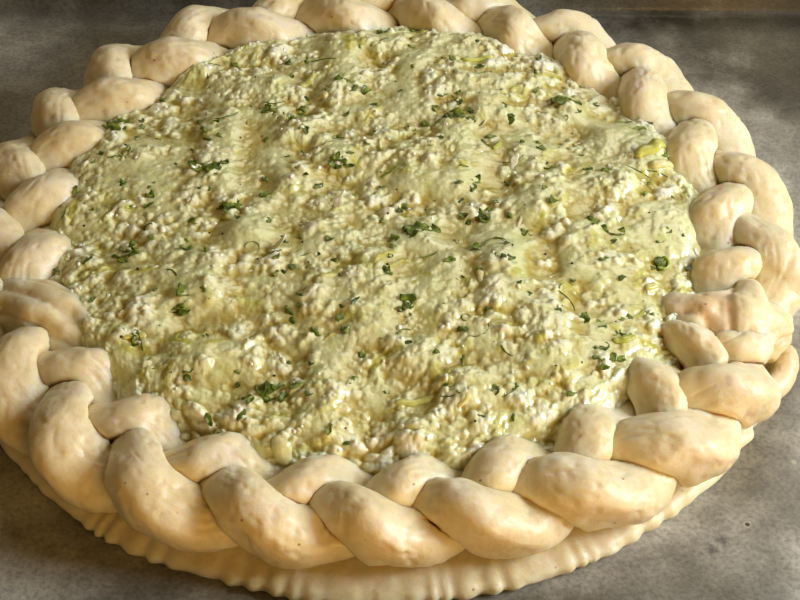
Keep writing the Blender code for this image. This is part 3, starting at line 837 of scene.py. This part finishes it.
random = np.random.default_rng(100)
x, y = scattered(CURDS * 3, CURD_REACH, 101)
level, curd = filling_top(x, y)[:2]
keep = np.argsort(-curd + random.random(len(x)) * 0.25)[:CURDS]
x, y, level = x[keep], y[keep], level[keep]
size = (0.7 + 0.9 * random.random(CURDS) ** 2) * MM
stretch = random.uniform(0.65, 1.35, (CURDS, 3)) * size[:, None]
ball = ball_rings(6, 8)
body = ball[None] * stretch[:, None, None]
own = np.arange(CURDS)[:, None, None, None] * 3.7
body = body * (1 + 0.28 * lattice_noise(ball[None] * 0.9 + own, 1.0, 102))[..., None]
spin = random.uniform(0, 2 * math.pi, CURDS)[:, None, None]
body = stacked(body[..., 0] * np.cos(spin) - body[..., 1] * np.sin(spin),
               body[..., 0] * np.sin(spin) + body[..., 1] * np.cos(spin), body[..., 2])
body = body + stacked(x, y, level - CURD_SUNK * size)[:, None, None]
points, faces = wrapped(body)
whiteness = np.repeat(random.uniform(0.45, 0.9, CURDS), len(points) // CURDS)
add_piece("loose_curds", points, faces, cheese, "cheese_filling",
          marks={**BARE_CURD, "curd": whiteness})


# ---- Zucchini shreds -------------------------------------------------------------------------
# Coarsely grated zucchini, skin and all: limp strips 5 to 15 mm long, half sunk in the cream.
# The flesh is pale yellow-green and see-through, and greener where skin is left on it.
SHREDS = 26
SHRED_STATIONS = 12
SHRED_SIDES = 8
TEAR_PITCH = 2.2 * MM


def strips(*each):
    """Rings of limp strips that follow the filling's top, from eight arrays of their sizes.

    Each path turns steadily from its heading by its bend. Its height is the filling's, evened
    out along it. The section is an ellipse that narrows to both ends, torn uneven by noise.
    """
    x, y, heading, bend, length, width, thick, lift = (row[:, None] for row in each)
    share = np.linspace(-0.5, 0.5, SHRED_STATIONS)
    way = heading + bend * share
    step = length / (SHRED_STATIONS - 1)
    path_x = np.cumsum(np.cos(way) * step, axis=1)
    path_y = np.cumsum(np.sin(way) * step, axis=1)
    path_x += x - path_x.mean(axis=1, keepdims=True)
    path_y += y - path_y.mean(axis=1, keepdims=True)
    level = filling_top(path_x, path_y)[0]
    for _ in range(3):
        level[:, 1:-1] = (level[:, :-2] + 2 * level[:, 1:-1] + level[:, 2:]) / 4
    level += lift
    turn = 2 * math.pi * np.arange(SHRED_SIDES) / SHRED_SIDES
    taper = np.sqrt(np.clip(1 - (2 * share) ** 6, 0.01, 1))[:, None]
    own = np.arange(len(x))[:, None, None] * 3.1
    along = (share * length / TEAR_PITCH)[..., None]
    torn = 1 + 0.45 * lattice_noise(stacked(own, along, np.cos(turn)), 1.0, 112)
    side = width[..., None] / 2 * taper * np.cos(turn) * torn
    rise = thick[..., None] / 2 * taper * np.sin(turn) * torn
    return stacked(path_x[..., None] - np.sin(way)[..., None] * side,
                   path_y[..., None] + np.cos(way)[..., None] * side, level[..., None] + rise)


PROUD_SHREDS = (  # x, y, heading, bend, length, width, thickness, lift, ripeness; mm and radians
    (104, 33, 0.55, 0.1, 15, 5.0, 3.6, 0.9, 0.80), (108, 27, 0.45, 0.0, 12, 5.5, 3.0, 0.1, 0.10),
    (-28, -111, 1.9, 0.2, 9, 5.5, 3.0, -0.2, 0.15), (104, -25, 0.9, 3.4, 9, 1.3, 1.3, 0.9, 1.00),
    (14, -93, 0.2, 0.3, 15, 2.6, 1.6, -0.2, 0.72), (86, -64, 0.3, 0.6, 9, 2.6, 1.6, 0.2, 0.90),
    (-28, 78, 0.9, 0.6, 10, 4.0, 2.2, 0.0, 0.66), (40, 93, 0.2, 0.3, 14, 2.4, 1.6, 0.1, 0.85),
    (46, 36, 1.0, 0.3, 6, 2.4, 1.8, 0.3, 0.92), (-15, -38, 0.5, 0.5, 12, 4.6, 2.4, -0.5, 0.60),
)
random = np.random.default_rng(110)
x, y = scattered(SHREDS, 0.94, 111)
drawn = stacked(
    x, y, STROKE_HEADING + random.normal(0, 0.6, SHREDS), random.normal(0, 0.9, SHREDS),
    random.uniform(5, 11, SHREDS) * MM, random.uniform(2.0, 4.2, SHREDS) * MM,
    random.uniform(1.2, 2.2, SHREDS) * MM, random.uniform(-0.9, -0.3, SHREDS) * MM,
    random.random(SHREDS) ** 1.5,
)
proud = np.array(PROUD_SHREDS) * (MM, MM, 1, 1, MM, MM, MM, MM, 1)
shreds = np.concatenate([drawn, proud])
points, faces = wrapped(strips(*shreds.T[:8]))

# Grated zucchini flesh, wet with cream: glossy, clear at the edges, greener in a riper strip.
flesh, flesh_shader = new_material(
    "grated_zucchini", Roughness=0.30, IOR=1.38, Subsurface_Weight=0.5,
    Subsurface_Radius=(0.7, 1.0, 0.3), Subsurface_Scale=3 * MM, Coat_Weight=0.8, Coat_Roughness=0.10,
)
place = add_node(flesh, "TexCoord", {}).outputs["Object"]
ripe = add_node(flesh, "Attribute", {"attribute_name": "ripe"}).outputs["Fac"]
fibre = add_node(flesh, "TexNoise", {"Scale": 1 / (1.5 * MM), "Detail": 3}, Vector=place).outputs["Fac"]
tone = layered_colour(
    flesh, ripe, ((0.0, "#E2DBA4"), (0.55, "#D9D283"), (0.85, "#C9C965"), (1.0, "#A3B04A")),
    ((fibre, ((0.35, (0.9, 0.95, 0.8, 1)), (0.6, WHITE)), 0.8),),
)
pulp = add_node(flesh, "Bump", {"Strength": 0.4, "Distance": 0.4 * MM}, Height=fibre)
feed(flesh_shader, Base_Color=tone, Normal=pulp.outputs["Normal"])
add_piece("zucchini_shreds", points, faces, flesh, "zucchini_green",
          marks={"ripe": np.repeat(shreds[:, 8], len(points) // len(shreds))})


# ---- Herbs -----------------------------------------------------------------------------------
# Chopped dill, parsley and green zucchini skin: curled flakes 2 to 10 mm long, some in clumps.
HERBS = 370
HERB_CLUMPS = (  # x and y of a clump's middle, its spread in mm, and the size of its leaves
    (16, -12, 6, 1.9), (82, -9, 6, 1.7), (74, 67, 5, 1.9), (-64, 20, 5, 1.6),
    (13, -54, 4, 1.5), (38, -4, 6, 1.5), (-66, -52, 5, 1.4), (-34, -91, 5, 1.4),
    (103, -24, 3, 1.5), (-42, 57, 3, 1.2), (30, 52, 4, 1.4), (-85, -27, 4, 1.2),
    (80, -72, 5, 1.5), (-100, 50, 5, 1.4), (-52, -2, 3, 1.2), (-12, 24, 4, 1.2),
)
CLUMP_LEAVES = 5
FLAKE_ROWS = 9
FLAKE_SIDES = 10


def flakes(*each):
    """Rings of thin crumpled flakes that lie on the filling, from nine arrays of their sizes.

    A section is a flat ellipse whose edges are curled up as the square of the distance from its
    middle. The flake narrows to both ends, tips by its tilt, and noise bends and frays it.
    """
    x, y, heading, length, width, thick, curl, tilt, lift = (row[:, None, None] for row in each)
    share = np.linspace(-1, 1, FLAKE_ROWS)[:, None]
    turn = 2 * math.pi * np.arange(FLAKE_SIDES) / FLAKE_SIDES
    taper = np.sqrt(np.clip(1 - share ** 2, 0.03, 1))
    own = np.arange(len(x))[:, None, None] * 5.3
    fray, buckle = (
        lattice_noise(stacked(own, pace * share, shift + np.cos(turn)), 1.0, seed)
        for pace, shift, seed in ((2.2, 0, 130), (1.7, 7, 131))
    )
    along = length / 2 * share * np.ones_like(turn)
    side = width / 2 * taper * np.cos(turn) * (1 + 0.55 * fray)
    side = side + length / 9 * buckle
    rise = thick / 2 * np.sin(turn) * np.ones_like(taper)
    rise = rise + curl * side ** 2 / (width / 2) + tilt * along + 0.45 * MM * buckle
    cos, sin = np.cos(heading), np.sin(heading)
    level = filling_top(x, y)[0] + lift
    return stacked(x + along * cos - side * sin, y + along * sin + side * cos, level + rise)


random = np.random.default_rng(120)
x, y = scattered(HERBS, 0.97, 121)
clump = np.repeat(np.array(HERB_CLUMPS), CLUMP_LEAVES, axis=0) * MM
count = len(clump)
x[:count] = clump[:, 0] + clump[:, 2] * 0.55 * random.normal(0, 1, count)
y[:count] = clump[:, 1] + clump[:, 2] * 0.4 * random.normal(0, 1, count)
grown = np.ones(HERBS)
grown[:count] = clump[:, 3] / MM
rings = flakes(
    x, y, 0.3 + random.normal(0, 0.9, HERBS), grown * random.uniform(2.0, 5.6, HERBS) * MM,
    grown * random.uniform(1.3, 3.0, HERBS) * MM, random.uniform(0.3, 0.6, HERBS) * MM,
    random.uniform(-0.3, 0.6, HERBS), random.normal(0, 0.16, HERBS),
    random.uniform(-0.5, 0.3, HERBS) * MM,
)
points, faces = wrapped(rings)

# Chopped green leaf, wet: dark green, glossy, paler where cream clings to it.
leaf, leaf_shader = new_material(
    "chopped_herbs", Roughness=0.38, IOR=1.45, Coat_Weight=0.3, Coat_Roughness=0.14,
)
place = add_node(leaf, "TexCoord", {}).outputs["Object"]
shade = add_node(leaf, "TexNoise", {"Scale": 1 / (3 * MM), "Detail": 3}, Vector=place).outputs["Fac"]
tone = layered_colour(leaf, shade, ((0.32, "#33420A"), (0.5, "#5A6E16"), (0.66, "#8C9A3A")))
vein = add_node(leaf, "Bump", {"Strength": 0.5, "Distance": 0.4 * MM}, Height=shade)
feed(leaf_shader, Base_Color=tone, Normal=vein.outputs["Normal"])
add_piece("chopped_herbs", points, faces, leaf, "herb_green")

# Fronds of dill, 4 to 12 mm long and as thin as thread, lie between the larger flakes.
FRONDS = 36
x, y = scattered(FRONDS, 0.95, 122)
rings = strips(
    x, y, 0.25 + random.normal(0, 0.8, FRONDS), random.normal(0, 1.4, FRONDS),
    random.uniform(4, 12, FRONDS) * MM, random.uniform(0.3, 0.6, FRONDS) * MM,
    random.uniform(0.3, 0.45, FRONDS) * MM, random.uniform(-0.1, 0.35, FRONDS) * MM,
)
add_piece("dill_fronds", *wrapped(rings), leaf, "herb_green")


# Where the spoon lifted off, thin white curd stands up in three points. Each row is a point's x
# and y, its length and its width, in mm.
PEAKS = np.array([(-13, 1, 7.0, 2.6), (-34.5, -23.5, 8.0, 3.2), (52, 24, 6.0, 2.4)]) * MM
PEAK_HEADINGS = np.array([0.9, 0.5, 1.2])
x, y, length, width = PEAKS.T
thick, curl, tilt, lift = (np.full(len(PEAKS), value) for value in (0.9 * MM, 0.5, 0.9, 1.2 * MM))
rings = flakes(x, y, PEAK_HEADINGS, length, width, thick, curl, tilt, lift)
add_piece("curd_peaks", *wrapped(rings), cheese, "cheese_filling", marks={**BARE_CURD, "curd": 1})


# ---- Pepper ----------------------------------------------------------------------------------
# Coarsely ground black pepper, crumbs 0.3 to 1.2 mm across, stuck to the wet cream.
PEPPER = 70
pepper, _ = new_material("ground_pepper", Roughness=0.6, Base_Color=linear("#2E2415"))
random = np.random.default_rng(140)
x, y = scattered(PEPPER, 0.97, 141)
size = random.uniform(0.2, 0.45, PEPPER) * MM
body = ball_rings(4, 6)[None] * (random.uniform(0.7, 1.3, (PEPPER, 3)) * size[:, None])[:, None, None]
body = body + stacked(x, y, filling_top(x, y)[0] + 0.3 * size)[:, None, None]
add_piece("pepper_crumbs", *wrapped(body), pepper, None)


# ---- Stage -----------------------------------------------------------------------------------
# A plain pale floor, a low key light from the right, a soft light from above and behind, and a
# warm one from the front, in a dim warm room.
floor_material, _ = new_material("pale_floor", Roughness=0.9, Base_Color=linear("#DAD8D2"))
floor_mesh = bpy.data.meshes.new("floor")
corners = [(x, y, -0.3 * MM) for x, y in ((-3, -3), (3, -3), (3, 3), (-3, 3))]
floor_mesh.from_pydata(corners, [], [(0, 1, 2, 3)])
floor_mesh.materials.append(floor_material)
floor = bpy.data.objects.new("floor", floor_mesh)
bpy.context.scene.collection.objects.link(floor)
TART_MIDDLE = (0, 0, 0.02)


def add_light(name, place, size, watts, colour):
    """A square area light that faces the tart's middle."""
    light = bpy.data.lights.new(name, "AREA")
    light.size = size
    light.energy = watts
    light.color = linear(colour)[:3]
    lamp = bpy.data.objects.new(name, light)
    bpy.context.scene.collection.objects.link(lamp)
    lamp.location = place
    lamp.rotation_euler = (Vector(TART_MIDDLE) - Vector(place)).to_track_quat("-Z", "Y").to_euler()


add_light("key", (0.74, -0.10, 0.41), 0.36, 8.0, "#F0F6FF")
add_light("sky", (0.27, 0.64, 0.74), 0.5, 2.1, "#FFF3E0")
add_light("front", (0.34, -0.80, 0.24), 0.5, 3.6, "#FFC87A")
world = bpy.data.worlds.new("room")
world.use_nodes = True
backdrop = world.node_tree.nodes["Background"].inputs
backdrop["Color"].default_value = linear("#F2C670")
backdrop["Strength"].default_value = 0.10
bpy.context.scene.world = world
bpy.context.scene.view_settings.view_transform = "Standard"

# The camera looks down over the front edge, a little to the right of the middle.
CAMERA_TILT = math.radians(43.88)
CAMERA_ROLL = math.radians(0.52)
CAMERA_PLACE = (0.0095, -0.472, 0.4415)
CAMERA_LENS = 76.5  # mm, on a sensor 36 mm wide
camera_data = bpy.data.cameras.new("camera")
camera_data.sensor_width = 36
camera_data.lens = CAMERA_LENS
camera = bpy.data.objects.new("camera", camera_data)
bpy.context.scene.collection.objects.link(camera)
camera.location = CAMERA_PLACE
camera.rotation_mode = "QUATERNION"
tilt_up = Quaternion((1, 0, 0), math.pi / 2 - CAMERA_TILT)
camera.rotation_quaternion = tilt_up @ Quaternion((0, 0, 1), CAMERA_ROLL)
bpy.context.scene.camera = camera
